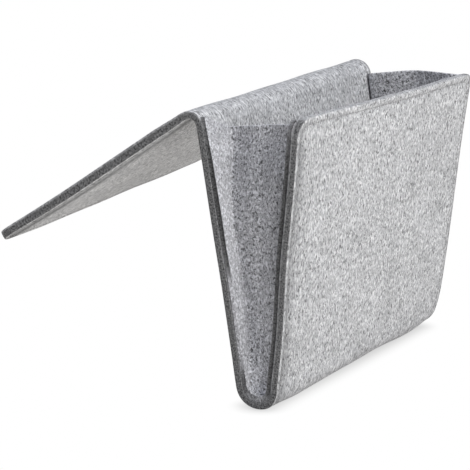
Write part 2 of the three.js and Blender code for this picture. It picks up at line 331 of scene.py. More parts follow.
# Rounded cut edge from one face to the other: how far out, and where in the thickness from 1 to -1, and
# how much of the cut shows there
EDGE_PROFILE = [
    (0.6, 0.95, 0.7),
    (0.9, 0.8, 1.0),
    (1.0, 0.4, 1.0),
    (1.06, 0.0, 1.0),
    (1.0, -0.4, 1.0),
    (0.9, -0.8, 1.0),
    (0.6, -0.95, 0.7),
]

# Distances from the cut edge of the rings of vertices round a face, closest together by the line of stitches
RINGS = [0.0007, 0.0014, 0.0024, 0.0036, 0.0045, 0.0052, 0.0058, 0.0064, 0.0071, 0.0081, 0.0100, 0.0135]

# Spacing of the vertices on a face and along the bends, how far past the top bend the close spacing goes,
# and how many vertices a round corner has
GRID, BOTTOM_BEND_GRID, TOP_BEND_GRID = 0.003, 0.0014, 0.0007
TOP_BEND_MARGIN = 0.004
CORNER_POINTS = 11

# Where in the thickness the edge's inner rim starts, and how much less of the cut shows on it along the
# front and along the flap. Along the flap that paler rim is a painted highlight, the light its fuzz catches
INNER_RIM = -0.7
FRONT_RIM_LOSS, FLAP_RIM_LOSS = 0.45, 0.6

# How much of an edge's way out points along the sheet where the edge starts to look like the free end's
END_EDGE_FROM = 0.85


class Skin:
    """Vertices and faces of a felt piece, with how much of a cut edge and what tone of painted light and
    shade each vertex shows, and how calm the felt is there, which paints lit felt paler."""

    def __init__(self):
        self.places = []
        self.cuts = []
        self.tones = []
        self.calms = []
        self.faces = []
        self.caps = []

    def point(self, place, cut=0.0, tone=1.0, calm=0.0):
        self.places.append(place)
        self.cuts.append(cut)
        self.tones.append(tone)
        self.calms.append(calm)
        return len(self.places) - 1

    def face(self, *corners):
        kept = [c for k, c in enumerate(corners) if c != corners[k - 1]]
        if len(kept) > 2:
            self.faces.append(kept)

    def strips(self, net):
        """Faces between each row of a net and the next."""
        for near, far in zip(net, net[1:]):
            for j in range(len(near) - 1):
                self.face(near[j], near[j + 1], far[j + 1], far[j])

    def cap(self, *corners):
        self.caps.append(len(self.faces))
        self.faces.append(list(corners))


def closed_edge(v):
    """How much of the cut shows on the inner rim of the sheet's edge, where the gusset's edge meets it."""
    return smooth(v, V_BOTTOM, V_BOTTOM + 0.012) * smooth(v, V_TOP + 0.007, V_TOP + 0.002)


def rim_cut(n, v):
    """What share of the cut shows at a place in the edge's thickness."""
    if n > INNER_RIM:
        return 1
    front = FRONT_RIM_LOSS * (1 - closed_edge(v)) if v < V_BACK else 0
    return 1 - front - FLAP_RIM_LOSS * smooth(v, V_TOP, V_FLAP)


def dent(edge):
    """How deep the stitches pull in the face at a distance from the cut edge."""
    return STITCH_DENT * bell(edge, STITCH_INSET, STITCH_DENT_WIDTH)


def edge_tone(edge, out_x, v):
    """Painted light and shade at a distance from the cut edge, on an edge facing left, right or neither."""
    left, right = max(0, -out_x), max(0, out_x)
    shade = LINE_SHADE
    if v >= V_SPLIT:
        shade = LINE_SHADE_BEND + LINE_SHADE_FLAP * smooth(v, V_FLAP, V_FLAP + LINE_FLAP_START)
    # The rim's painted highlight, which turns to painted shade on a right-hand edge
    rim = (RIM_HIGHLIGHT + RIM_LEFT_HIGHLIGHT * left + RIM_RIGHT_SHADE * right) * bell(edge, RIM_MIDDLE, RIM_WIDTH)
    line = shade * (1 - LINE_RIGHT_LOSS * right) * bell(edge, STITCH_INSET, LINE_WIDTH)
    drawn = DRAWN_SHADE * left * bell(edge, DRAWN_MIDDLE, DRAWN_WIDTH) * smooth(v, V_SPLIT, V_BACK)
    return 1 + rim - line - drawn


def face_tone(x, v, side):
    """Painted light and shade on the sewn side: the front, and the flap's underside. The other side has the
    felt's own.
    """
    if side < 0:
        return 1
    from_edge = x + HALF_WIDTH
    front = FRONT_EDGE_SHADE * bell(from_edge, 0, FRONT_EDGE_WIDTH) * smooth(v, V_BACK, V_BOTTOM)
    end = UNDER_END_SHADE * smooth(v, V_END - UNDER_END_FROM, V_END - UNDER_END_TO)
    edge = UNDER_EDGE_SHADE * bell(from_edge, 0, UNDER_EDGE_WIDTH)
    line = UNDER_LINE_SHADE * bell(from_edge, UNDER_LINE_INSET, UNDER_LINE_WIDTH)
    return 1 - front + smooth(v, V_TOP, V_FLAP) * (UNDER_FLOOR_LIGHT - end - edge - line)


def sheet_rows(free_v, split_v):
    """Distances from the free end of the rows of the grid, closer together in a bend."""
    bends = [
        (V_BOTTOM, V_BACK, BOTTOM_BEND_GRID),
        (V_TOP - TOP_BEND_MARGIN, V_FLAP + TOP_BEND_MARGIN, TOP_BEND_GRID),
    ]
    low, high = min(free_v, split_v), max(free_v, split_v)
    first, last, step = next(bend for bend in bends if low < bend[0] < high)
    start, end = sorted((abs(first - free_v), abs(last - free_v)))
    return np.concatenate([
        spaced(CORNER_RADIUS, start, GRID)[:-1],
        spaced(start, end, step)[:-1],
        spaced(end, high - low, GRID),
    ])


def sheet_skin(free_v, split_v, end_cut):
    """Stretch of the sheet from a free end with round corners to where it is split.

    The cut shows in full along the sides, and by the share end_cut along the free end."""
    skin = Skin()
    way = 1 if split_v > free_v else -1
    inner = HALF_WIDTH - CORNER_RADIUS
    rows = sheet_rows(free_v, split_v)
    columns = spaced(-inner, inner, GRID)
    last_row, last_column = len(rows) - 1, len(columns) - 1
    turns = np.linspace(0, pi / 2, CORNER_POINTS)[1:-1]

    # Stations round the free edge: a place on the innermost ring, its index in the grid, and the way out
    stations = [((-inner, rows[i]), (i, 0), (-1, 0)) for i in range(last_row, -1, -1)]
    stations += [((-inner, CORNER_RADIUS), (0, 0), (-cos(a), -sin(a))) for a in turns]
    stations += [((columns[j], CORNER_RADIUS), (0, j), (0, -1)) for j in range(last_column + 1)]
    stations += [((inner, CORNER_RADIUS), (0, last_column), (sin(a), -cos(a))) for a in turns]
    stations += [((inner, rows[i]), (i, last_column), (1, 0)) for i in range(last_row + 1)]

    def flat(station, edge, n):
        (x, e), _, (out_x, out_e) = station
        reach = CORNER_RADIUS - edge
        return x + reach * out_x, free_v + way * (e + reach * out_e), n

    def grid_point(x, e, side):
        v = free_v + way * e
        return skin.point((x, v, side * FELT / 2), tone=face_tone(x, v, side))

    def ring_point(station, edge, side):
        x, v, n = flat(station, edge, side * (FELT / 2 - dent(edge)))
        cut = closed_edge(v) if side < 0 and edge == RINGS[0] else 0
        return skin.point((x, v, n), cut, edge_tone(edge, station[2][0], v) * face_tone(x, v, side))

    grids, frames = {}, {}
    for side in (1, -1):
        grids[side] = [[grid_point(x, e, side) for x in columns] for e in rows]
        frames[side] = [
            [ring_point(station, edge, side) for edge in RINGS] + [grids[side][station[1][0]][station[1][1]]]
            for station in stations
        ]
        skin.strips(grids[side])
        skin.strips(frames[side])

    walls = []
    for k, station in enumerate(stations):
        shows = 1 - (1 - end_cut) * smooth(abs(station[2][1]), END_EDGE_FROM, 1)
        wall = []
        for out, n, cut in EDGE_PROFILE:
            place = flat(station, EDGE_ROUND * (1 - out), n * FELT / 2)
            wall.append(skin.point(place, cut * rim_cut(n, place[1]) * shows))
        walls.append([frames[1][k][0], *wall, frames[-1][k][0]])
    skin.strips(walls)

    chains = {
        side: frames[side][0][:-1] + grids[side][last_row] + frames[side][-1][-2::-1] for side in (1, -1)
    }
    for j in range(len(chains[1]) - 1):
        skin.cap(chains[1][j], chains[1][j + 1], chains[-1][j + 1], chains[-1][j])
    skin.cap(*walls[0])
    skin.cap(*walls[-1])
    return skin


def felt_piece(name, skin, places, grain, look):
    """Mesh object of a skin, with its grain coordinates and looks as attributes."""
    mesh = bpy.data.meshes.new(name)
    mesh.from_pydata([tuple(p) for p in places], [], skin.faces)
    values = mesh.attributes.new("grain", "FLOAT_VECTOR", "POINT")
    values.data.foreach_set("vector", np.asarray(grain, np.float32).ravel())
    for key, numbers in (("cut", skin.cuts), ("tone", skin.tones), ("calm", skin.calms)):
        values = mesh.attributes.new(key, "FLOAT", "POINT")
        values.data.foreach_set("value", np.asarray(numbers, np.float32))
    mesh.polygons.foreach_set("use_smooth", [True] * len(mesh.polygons))
    form = bmesh.new()
    form.from_mesh(mesh)
    bmesh.ops.recalc_face_normals(form, faces=form.faces)
    form.faces.ensure_lookup_table()
    for index in skin.caps:
        for edge in form.faces[index].edges:
            edge.smooth = False
    form.to_mesh(mesh)
    form.free()
    mesh.materials.append(look)
    piece = bpy.data.objects.new(name, mesh)
    bpy.context.scene.collection.objects.link(piece)
    return piece


# Gussets

# Spacing of the vertices up a gusset and in the band by its top, and the height where it starts. How many
# vertices a flange, a fold, half of the web and the turn round the bottom have
GUSSET_GRID, GUSSET_TOP_GRID, GUSSET_TOP_BAND, GUSSET_START_HEIGHT = 0.004, 0.0015, 0.03, 0.002
FLANGE_POINTS, FOLD_POINTS, WEB_POINTS, TURN_POINTS = 7, 10, 10, 27

# How fast the rise of a gusset's top edge fades below it, how round its cut edges are, and the tone of its
# top edge, a painted highlight of the light from above
GUSSET_TOP_FADE = 5
GUSSET_EDGE_ROUND = 0.6 * EDGE_ROUND
GUSSET_TOP_HIGHLIGHT = 1.25

# The largest share of the way to the wedge's middle that a fold takes, and the least length of a flange
FOLD_MOST, FLANGE_LEAST = 0.8, 0.001


def gusset_skin(side, shape):
    """Folded side wall: a web across the wedge between the panels, with flanges on their inner faces.

    A station is a wall, 1 for the back, -1 for the front and 0 for the bend between them, the height above
    the centre of the bend, and the angle round it. The shape has these values and functions:
    top: height of the top edge. climb: how fast it rises from the web to the sewn edge, by wall.
    crown: how far it rises at mid-web. pitch: how far it is lowered at the back and raised at the front.
    corner: radius of the panel's corner that the front flange follows.
    depth, fold: distance of the web from the sewn edge and radius of its folds, by height and from 1 at the
    back to -1 at the front. middle: that distance at mid-web. swell: extra thickness, by wall and height.
    edge: how much of the flange's cut shows, its tone and its painted shade, paler on the panel side, by
    station.
    tone, the painted light and shade: by place from 1 at the back flange to -1 at the front one, height,
    and turn from 0 on a flange to 1 on the web. calm, which paints lit felt paler: by place and turn."""
    back, front, _ = lean_at(side * GUSSET_LEAN_AT)
    half, tilt = (back + front) / 2, (back - front) / 2
    up = np.array([sin(tilt), cos(tilt)])
    to_back = np.array([cos(tilt), -sin(tilt)])
    wall_up = {1: np.array([sin(back), cos(back)]), -1: np.array([-sin(front), cos(front)])}
    bend = BOTTOM_RADIUS - FELT / 2
    top = shape["top"] - EDGE_ROUND
    front_end = FRONT_LENGTH + front_extra(side)

    heights = np.concatenate([
        spaced(GUSSET_START_HEIGHT, top - GUSSET_TOP_BAND, GUSSET_GRID)[:-1],
        spaced(top - GUSSET_TOP_BAND, top, GUSSET_TOP_GRID),
    ])
    stations = [(1, h, None) for h in heights[::-1]]
    stations += [(0, 0.0, a) for a in np.linspace(0, pi, TURN_POINTS)]
    stations += [(-1, h, None) for h in heights]

    def thickness(station):
        wall, height, angle = station
        return GUSSET_FELT + (shape["swell"](wall, height) if wall else GUSSET_BOTTOM_SWELL * sin(angle))

    def trim_at(wall, height, reach, rise):
        """How far the flange is cut back to follow the front panel's round corner."""
        corner = shape["corner"]
        into = height * cos(half) + reach * sin(half) + rise - front_end + corner
        if wall > 0 or into < 0:
            return 0
        return corner - max(corner ** 2 - into ** 2, 0) ** 0.5

    def outline(reach, depth, fold, middle, first):
        """Middle of the felt in a section: how far off the wedge's middle plane and in from the sewn edge,
        the normal in the same two ways, and the distance from the web."""
        start = depth - fold
        bow = middle - depth
        rows = [(reach, d, 1.0, 0.0, depth - d) for d in np.linspace(first, start, FLANGE_POINTS)]
        for a in np.linspace(0, pi / 2, FOLD_POINTS)[1:]:
            off, into = reach - fold + fold * cos(a), start + fold * sin(a)
            rows.append((off, into, cos(a), sin(a), fold * (1 - sin(a))))
        for part in np.linspace(1, 0, WEB_POINTS)[1:]:
            lift = bow * (1 + cos(pi * part)) / 2
            slope = -bow * pi * sin(pi * part) / 2 / max(reach - fold, 1e-4)
            size = np.hypot(slope, 1)
            rows.append(((reach - fold) * part, depth + lift, -slope / size, 1 / size, 0.0))
        return rows

    def section(station):
        """Places, normals, thickness and looks of the felt, from the sewn edge to the middle of the web."""
        wall, height, angle = station
        share = wall if wall else cos(angle)
        depth, fold = (shape[key](height, share) for key in ("depth", "fold"))
        climb = tan(half) * shape["climb"][wall]
        thick = thickness(station)
        near_top = (height / top) ** GUSSET_TOP_FADE
        first = EDGE_ROUND
        if wall:
            reach, outwards, climbs = bend / cos(half) + height * tan(half), wall * to_back, wall_up[wall]
            if wall < 0:
                reach += belly_angle(side) * FRONT_BELLY_LENGTH * (1 - exp(-height / FRONT_BELLY_LENGTH))
            first += trim_at(wall, height, reach, depth * climb * near_top)
            along = V_BACK + height if wall > 0 else V_BOTTOM - height
        else:
            from_front = pi - angle - front
            reach = bend / cos(max(0, half - min(angle, pi - angle))) + fuller(side, from_front)
            turn = np.array([[cos(angle), sin(angle)], [-sin(angle), cos(angle)]])
            outwards, climbs = turn @ to_back, up
            along = V_BOTTOM + from_front * BOTTOM_RADIUS
        flange = reach + uneven(side * GUSSET_UNEVEN_AT, along) - GUSSET_GAP - thick / 2
        fold = min(fold, flange * FOLD_MOST)
        first = min(first, depth - fold - FLANGE_LEAST)
        end = side * HALF_WIDTH - drawn_in(side * HALF_WIDTH, along)
        points = []
        for off, d, n_off, n_depth, out in outline(flange, depth, fold, shape["middle"](height), first):
            part = off / flange
            crown = (shape["crown"] * (1 - part * part) - shape["pitch"] * wall * part) * near_top
            across = up * (height + crown) + outwards * off + climbs * (out * climb * near_top)
            normal = outwards * n_off
            points.append((
                np.array([end - side * d, across[0], across[1]]),
                np.array([-side * n_depth, normal[0], normal[1]]),
                thick,
                shape["tone"](wall * part, height, n_depth),
                shape["calm"](wall * part, n_depth),
            ))
        return points

    skin = Skin()
    centre = np.array([0, BOTTOM_CENTRE.y, BOTTOM_CENTRE.z])
    sections = [section(station) for station in stations]
    columns = len(sections[0])
    shared = {}

    def vertex(k, c, face):
        """Vertex on a face. The back's and the front's sections share those in the middle of the web."""
        place, normal, thick, tone, calm = sections[k][c]
        spot = tuple(centre + place + face * normal * thick / 2)
        if c < columns - 1:
            return skin.point(spot, 0, tone, calm)
        key = (face, round(stations[k][1], 6))
        if key not in shared:
            shared[key] = skin.point(spot, 0, tone, calm)
        return shared[key]

    nets = {
        face: [[vertex(k, c, face) for c in range(columns)] for k in range(len(stations))]
        for face in (1, -1)
    }
    for net in nets.values():
        skin.strips(net)

    last = len(stations) - 1
    loop = [(0, c) for c in range(columns - 1, 0, -1)]
    loop += [(k, 0) for k in range(last + 1)]
    loop += [(last, c) for c in range(1, columns - 1)]
    walls = []
    for k, c in loop:
        outer, inner = (np.array(skin.places[nets[face][k][c]]) for face in (1, -1))
        way = np.zeros(3)
        if k in (0, last):
            way += (0, up[0], up[1])
        if c == 0:
            way += (side, 0, 0)
        way /= np.linalg.norm(way)
        # A gusset's top edge shows no cut and gets a painted highlight of the light from above
        shows, tone, lean = shape["edge"](stations[k]) if c == 0 else (0, GUSSET_TOP_HIGHLIGHT, 0)
        felt_tone, calm = sections[k][c][3:]
        wall = []
        for out, n, cut in EDGE_PROFILE:
            spot = (outer + inner) / 2 + (outer - inner) / 2 * n + way * GUSSET_EDGE_ROUND * out
            # The lean paints shade along one side of the flange's edge and leaves the other paler
            shade = tone * (1 + lean * n * shows) * felt_tone
            wall.append(skin.point(tuple(spot), cut * shows, shade, calm))
        walls.append([nets[1][k][c], *wall, nets[-1][k][c]])
    skin.strips(walls + walls[:1])
    return skin


# Stitches

STITCH_RINGS, THREAD_SIDES = 7, 8

# How far a stitch arches out and how deep its ends lie, in thread radii, and how much thinner they are
STITCH_ARCH, STITCH_SINK, STITCH_PINCH = 1.5, 0.9, 0.45


def stitch_route(free_v, split_v):
    """Line of stitches round a stretch of sheet: its length, and its place and direction at a distance."""
    way = 1 if split_v > free_v else -1
    reach = abs(split_v - free_v)
    inner = HALF_WIDTH - CORNER_RADIUS
    radius = CORNER_RADIUS - STITCH_INSET
    sides = reach - CORNER_RADIUS
    arc = radius * pi / 2
    total = 2 * sides + 2 * arc + 2 * inner

    def at(run):
        if run > total / 2:
            (x, v), (dx, dv) = at(total - run)
            return (-x, v), (dx, -dv)
        if run < sides:
            return (-HALF_WIDTH + STITCH_INSET, free_v + way * (reach - run)), (0, -way)
        if run < sides + arc:
            a = (run - sides) / radius
            spot = (-inner - radius * cos(a), free_v + way * (CORNER_RADIUS - radius * sin(a)))
            return spot, (sin(a), -way * cos(a))
        return (-inner + run - sides - arc, free_v + way * STITCH_INSET), (1, 0)

    return total, at


def stitch(at, start, face, skin):
    """One stitch on a face of the sheet, which arches out of the dent and goes into the felt at its ends."""
    rings = []
    for share in np.linspace(0, 1, STITCH_RINGS):
        (x, v), (dx, dv) = at(start + share * STITCH_LENGTH)
        arch = 1 - (2 * share - 1) ** 4
        lift = FELT / 2 - STITCH_DENT + THREAD_RADIUS * (STITCH_ARCH * arch - STITCH_SINK)
        radius = THREAD_RADIUS * (1 - STITCH_PINCH * (1 - arch))
        ring = [
            skin.point((x - dv * radius * cos(a), v + dx * radius * cos(a), face * (lift + radius * sin(a))))
            for a in np.linspace(0, 2 * pi, THREAD_SIDES, endpoint=False)
        ]
        rings.append(ring + ring[:1])
    skin.strips(rings)
    skin.face(*rings[0][:-1])
    skin.face(*rings[-1][:-1])


def sew(name, route, faces, first, end):
    """Stitches from one distance to another along a route, on the given faces of the sheet."""
    skin = Skin()
    _, at = route
    count = int((end - first) / STITCH_PITCH)
    for face in faces:
        for k in range(count):
            stitch(at, first + (k + 0.5) * (end - first) / count - STITCH_LENGTH / 2, face, skin)
    return felt_piece(name, skin, on_sheet(skin.places), skin.places, THREAD)


# Materials

def material(name):
    made = bpy.data.materials.new(name)
    made.use_nodes = True
    tree = made.node_tree
    return made, tree, tree.nodes["Principled BSDF"]


def grey(level, tint=(1.0, 1.0, 1.0)):
    return tuple(level * t for t in tint) + (1.0,)


def fill(tree, made, inputs):
    """Sets inputs of a node to values, or links them to sockets."""
    for place, value in inputs.items():
        if isinstance(value, bpy.types.NodeSocket):
            tree.links.new(value, made.inputs[place])
        else:
            made.inputs[place].default_value = value


def node(tree, kind, inputs, **settings):
    made = tree.nodes.new("ShaderNode" + kind)
    for key, value in settings.items():
        setattr(made, key, value)
    fill(tree, made, inputs)
    return made


def attribute(tree, name, output="Fac"):
    return node(tree, "Attribute", {}, attribute_name=name).outputs[output]


def noise(tree, vector, scale, detail, roughness=0.5):
    inputs = {"Vector": vector, "Scale": scale, "Detail": detail, "Roughness": roughness}
    return node(tree, "TexNoise", inputs).outputs


def mapped(tree, value, given, wanted, kind="LINEAR"):
    """A value carried over from the given range to the wanted one, and held at its ends."""
    ends = zip(("From Min", "From Max", "To Min", "To Max"), (*given, *wanted))
    return node(tree, "MapRange", {"Value": value, **dict(ends)}, interpolation_type=kind).outputs["Result"]


def maths(tree, operation, value, other):
    return node(tree, "Math", {0: value, 1: other}, operation=operation).outputs[0]


def scaled(tree, colour, scale):
    return node(tree, "VectorMath", {0: colour, "Scale": scale}, operation="SCALE").outputs[0]


def mix(tree, colour, other, factor):
    """Mix of two colours, each a value or a socket."""
    mixed = node(tree, "Mix", {"Factor": factor}, data_type="RGBA")
    places = [k for k, socket in enumerate(mixed.inputs) if socket.type == "RGBA"]
    fill(tree, mixed, dict(zip(places, (colour, other))))
    return next(socket for socket in mixed.outputs if socket.type == "RGBA")


def bump(tree, height, strength, distance):
    inputs = {"Height": height, "Strength": strength, "Distance": distance}
    return node(tree, "Bump", inputs).outputs["Normal"]


# How many of these fit in a metre: the drifts of the fibres, the grains of a cut edge, and the faint clouds
DRIFT_SCALE, GRAIN_SCALE, CLOUD_SCALE = 55, 700, 38

# How far the fibres drift along each axis of the grain, and the share of dark fibres that calm felt keeps,
# which paints lit felt paler
FIBRE_DRIFT = (0.006, 0.006, 0.002)
CALM_SHARE = 0.55


def felt(name, base, dark, light, fineness, streak, cut_colour, sheen):
    """Heather felt: short pale and dark fibres in a grey ground, a granular cut edge, and a soft sheen.

    Fineness is how many fibres lie side by side in a metre, and streak how much longer than wide each is."""
    made, tree, shader = material(name)
    grain = attribute(tree, "grain", "Vector")

    # Fibres in four layers, of two directions and sizes for each tone, that drift from their direction
    drift = noise(tree, grain, DRIFT_SCALE, 1)["Color"]
    drifted = {0: drift, 1: FIBRE_DRIFT, 2: grain}
    bent = node(tree, "VectorMath", drifted, operation="MULTIPLY_ADD").outputs[0]

    def fibres(angle, finer, low, high):
        turned = node(tree, "Mapping", {"Vector": bent, "Rotation": (0, 0, radians(angle))}).outputs[0]
        across = fineness * finer
        size = (across, across / streak, across)
        sized = node(tree, "VectorMath", {0: turned, 1: size}, operation="MULTIPLY").outputs[0]
        strands = noise(tree, sized, 1, 2, 0.6)["Fac"]
        return mapped(tree, strands, (low, high), (0, 1), "SMOOTHSTEP")

    # Calm felt, painted paler where a flange is lit, keeps fewer dark fibres
    shown = mapped(tree, attribute(tree, "calm"), (0, 1), (1, CALM_SHARE))
    pale_fibres = fibres(-8, 1, 0.50, 0.66)
    colour = mix(tree, base, dark, maths(tree, "MULTIPLY", fibres(14, 1, 0.50, 0.66), shown))
    colour = mix(tree, colour, dark, maths(tree, "MULTIPLY", fibres(-24, 1.5, 0.52, 0.68), shown))
    colour = mix(tree, colour, light, pale_fibres)
    colour = mix(tree, colour, light, fibres(32, 1.6, 0.52, 0.68))

    # Grains of the cut edge
    grains = noise(tree, grain, GRAIN_SCALE, 2)["Fac"]
    edge = scaled(tree, cut_colour[:3], mapped(tree, grains, (0.33, 0.67), (0.25, 1.85)))
    colour = mix(tree, colour, edge, attribute(tree, "cut"))

    # Faint clouds, and the tone of the place, which holds the painted light and shade
    clouds = mapped(tree, noise(tree, grain, CLOUD_SCALE, 2)["Fac"], (0.3, 0.7), (0.91, 1.09))
    tone = maths(tree, "MULTIPLY", clouds, attribute(tree, "tone"))
    height = maths(tree, "ADD", pale_fibres, grains)
    fill(tree, shader, {
        "Base Color": scaled(tree, colour, tone),
        "Normal": bump(tree, height, strength=0.5, distance=0.0005),
        "Roughness": 0.95,
        "Specular IOR Level": 0.15,
        "Sheen Weight": sheen,
        "Sheen Roughness": 0.5,
    })
    return made


def thread(name, colour, between_plies):
    """Twisted thread, darker between its plies."""
    made, tree, shader = material(name)
    inputs = {"Vector": attribute(tree, "grain", "Vector"), "Scale": 900, "Distortion": 2}
    ply = node(tree, "TexWave", inputs, wave_type="BANDS", bands_direction="DIAGONAL").outputs["Fac"]
    ramp = node(tree, "ValToRGB", {"Fac": ply})
    for stop, shown in zip(ramp.color_ramp.elements, (between_plies, colour)):
        stop.color = shown
    fill(tree, shader, {
        "Base Color": ramp.outputs["Color"],
        "Normal": bump(tree, ply, strength=0.4, distance=0.0002),
        "Roughness": 0.7,
    })
    return made


SHEET_FELT = felt(
    "sheet_felt",
    base=grey(0.48, (0.99, 0.995, 1.015)),
    dark=grey(0.14),
    light=grey(0.77),
    fineness=540,
    streak=2.5,
    cut_colour=grey(0.123),
    sheen=0.15,
)
# The gussets' felt is bluer than the sheet's: partly its own colour, partly painted as the cool light in
# their shade
GUSSET_TINT = (0.99, 0.99, 1.025)
GUSSET_MATERIAL = felt(
    "gusset_felt",
    base=grey(0.47, GUSSET_TINT),
    dark=grey(0.08),
    light=grey(0.84, GUSSET_TINT),
    fineness=490,
    streak=1.4,
    cut_colour=grey(0.1),
    sheen=0.1,
)
THREAD = thread("thread", colour=grey(0.42), between_plies=grey(0.231))


# The sheet

# Along the front's top edge, which faces the light from above, little of the dark cut shows: painted light
FRONT_END_CUT, FLAP_END_CUT = 0.12, 1.0
lower = sheet_skin(0.0, V_SPLIT, FRONT_END_CUT)
upper = sheet_skin(V_END, V_SPLIT, FLAP_END_CUT)
lower_felt = felt_piece("front_and_back_felt", lower, on_sheet(lower.places), lower.places, SHEET_FELT)
upper_felt = felt_piece("flap_and_back_felt", upper, on_sheet(upper.places), upper.places, SHEET_FELT)


# The left gusset

# Its web stands further in at the back than at the front, leans in at the top, and comes nearer the sewn
# edge at the bottom
LEFT_BEHIND, LEFT_BEHIND_LEAN, LEFT_BEHIND_LOW = 0.0200, 0.0210, 0.010
LEFT_AHEAD, LEFT_AHEAD_LEAN = 0.0105, 0.0095

# Radii of its folds, and how much tighter the one ahead gets at the top
LEFT_FOLD_BEHIND, LEFT_FOLD_AHEAD, LEFT_FOLD_TIGHTER = 0.0034, 0.008, 0.004

# How far the web bows in at the top, the height that this is meant for, how much thicker the felt is where
# it is gathered behind, and the painted shade that leaves the flanges' edges paler on one side
LEFT_BOW, WEB_HEIGHT = 0.002, 0.21
LEFT_SWELL = 0.0009
LEFT_EDGE_SHADE_LEAN = 0.6

# Turns of the fold, from 0 on the flange to 1 on the web, where the lit flange starts and is fully lit
LIT_FROM, LIT_TO = 0.85, 0.4


def left_edge(station):
    """How much of the flange's cut edge shows, its tone, and its painted shade, paler on the panel's side.

    The back flange's edge shows above, in the fold's shade, and where it is gathered at the bottom. Between
    them it goes under the fold of the felt. Round the bend it shows most at the front."""
    wall, height, angle = station
    if wall > 0:
        above = smooth(height, 0.08, 0.105) * (1 - 0.2 * smooth(height, 0.19, 0.212))
        gathered = 0.9 * smooth(height, 0.024, 0.006)
        shade = 0.3 * smooth(height, 0.10, 0.13) * smooth(height, 0.20, 0.17)
        return above + gathered, 1 - shade, LEFT_EDGE_SHADE_LEAN
    if wall < 0:
        return 1 - 0.3 * smooth(height, 0.18, 0.21), 0.9, -LEFT_EDGE_SHADE_LEAN
    ahead, behind = smooth(angle, 1.8, 3.0), smooth(angle, 1.2, 0.2)
    return 0.5 + 0.5 * ahead + 0.4 * behind, 1 - 0.1 * ahead, -LEFT_EDGE_SHADE_LEAN * ahead


def between(behind, ahead, share):
    return behind * (1 + share) / 2 + ahead * (1 - share) / 2


def left_depth(height, share):
    lean, low = smooth(height, 0.13, 0.215), smooth(height, 0.05, 0)
    behind = LEFT_BEHIND + LEFT_BEHIND_LEAN * lean - LEFT_BEHIND_LOW * low
    ahead = LEFT_AHEAD + LEFT_AHEAD_LEAN * smooth(height, 0.17, 0.212)
    return between(behind, ahead, share)


def left_fold(height, share):
    ahead = LEFT_FOLD_AHEAD - LEFT_FOLD_TIGHTER * smooth(height, 0.18, 0.212)
    return between(LEFT_FOLD_BEHIND, ahead, share)


def left_swell(wall, height):
    if wall < 0:
        return 0
    return LEFT_SWELL * smooth(height, 0.11, 0.145) * smooth(height, 0.214, 0.18)


def left_tone(part, height, turn):
    """The web is in the shade of the panels, more so towards the front, and the flange behind it is lit."""
    low, high = smooth(height, 0.13, 0), smooth(height, 0.16, 0.2)
    web = 0.80 + 0.20 * low + 0.09 * high - 0.12 * smooth(-part, 0.35, 0.8)
    if part < 0:
        return web
    pale = smooth(height, 0.07, 0.1) * smooth(height, 0.17, 0.14)
    flange = 0.88 + 0.08 * pale - 0.05 * smooth(height, 0.08, 0.05)
    return web + (flange - web) * smooth(turn, LIT_FROM, LIT_TO)


def left_lit_calm(part, turn):
    """The lit flange is painted paler, with fewer dark fibres."""
    return smooth(turn, LIT_FROM, LIT_TO) if part > 0 else 0


left = gusset_skin(-1, {
    "top": 0.2150,
    "climb": {1: 2.8, 0: 0.0, -1: 3.4},
    "crown": 0.0,
    "pitch": 0.0045,
    "corner": CORNER_RADIUS,
    "depth": left_depth,
    "fold": left_fold,
    "swell": left_swell,
    "middle": lambda height: left_depth(height, 0) + LEFT_BOW * height / WEB_HEIGHT,
    "edge": left_edge,
    "tone": left_tone,
    "calm": left_lit_calm,
})


# The right gusset

# Its web is about as deep at the back as at the front, and bows out more towards the top
RIGHT_DEPTH, RIGHT_DEPTH_SPLAY = 0.0085, 0.0025
RIGHT_FOLD, RIGHT_FOLD_SPLAY = 0.004, 0.001
RIGHT_BOW, RIGHT_BOW_LOW = 0.0105, 0.2


def right_middle(height):
    return RIGHT_DEPTH - RIGHT_BOW * (RIGHT_BOW_LOW + (1 - RIGHT_BOW_LOW) * height / WEB_HEIGHT)


def right_tone(part, height, turn):
    """The far web is in the pocket's shade, with a painted highlight on its edge at the back."""
    return 0.72 - 0.08 * part + 0.35 * smooth(part, 0.85, 0.98)


right = gusset_skin(1, {
    "top": 0.2178,
    "climb": {1: -1.0, 0: 0.0, -1: 0.0},
    "crown": 0.0017,
    "pitch": 0.0012,
    "corner": TIGHT_CORNER,
    "depth": lambda height, share: RIGHT_DEPTH + RIGHT_DEPTH_SPLAY * share,
    "fold": lambda height, share: RIGHT_FOLD + RIGHT_FOLD_SPLAY * share,
    "swell": lambda wall, height: 0.0,
    "middle": right_middle,
    "edge": lambda station: (0.6, 1.0, 0.0),
    "tone": right_tone,
    "calm": lambda part, turn: 0.0,
})


def gusset_piece(name, skin):
    """A gusset's fibres run up it, so its grain has the width last."""
    grain = np.array(skin.places)[:, [1, 2, 0]]
    return felt_piece(name, skin, skin.places, grain, GUSSET_MATERIAL)


left_gusset = gusset_piece("left_gusset_felt", left)
right_gusset = gusset_piece("right_gusset_felt", right)


# The seams

FRONT_ROUTE = stitch_route(0.0, V_SPLIT)
FLAP_ROUTE = stitch_route(V_END, V_SPLIT)
SIDE_END = V_SPLIT - V_BOTTOM
FRONT_TOTAL, FLAP_TOTAL = FRONT_ROUTE[0], FLAP_ROUTE[0]

front_stitches = sew("front_stitches", FRONT_ROUTE, (1,), SIDE_END, FRONT_TOTAL - SIDE_END)
left_stitches = sew("left_side_stitches", FRONT_ROUTE, (1,), 0, SIDE_END)
right_stitches = sew("right_side_stitches", FRONT_ROUTE, (1,), FRONT_TOTAL - SIDE_END, FRONT_TOTAL)
flap_stitches = sew("flap_stitches", FLAP_ROUTE, (1, -1), 0, FLAP_TOTAL)


# The pieces, baked in place, and the model's own parts hidden

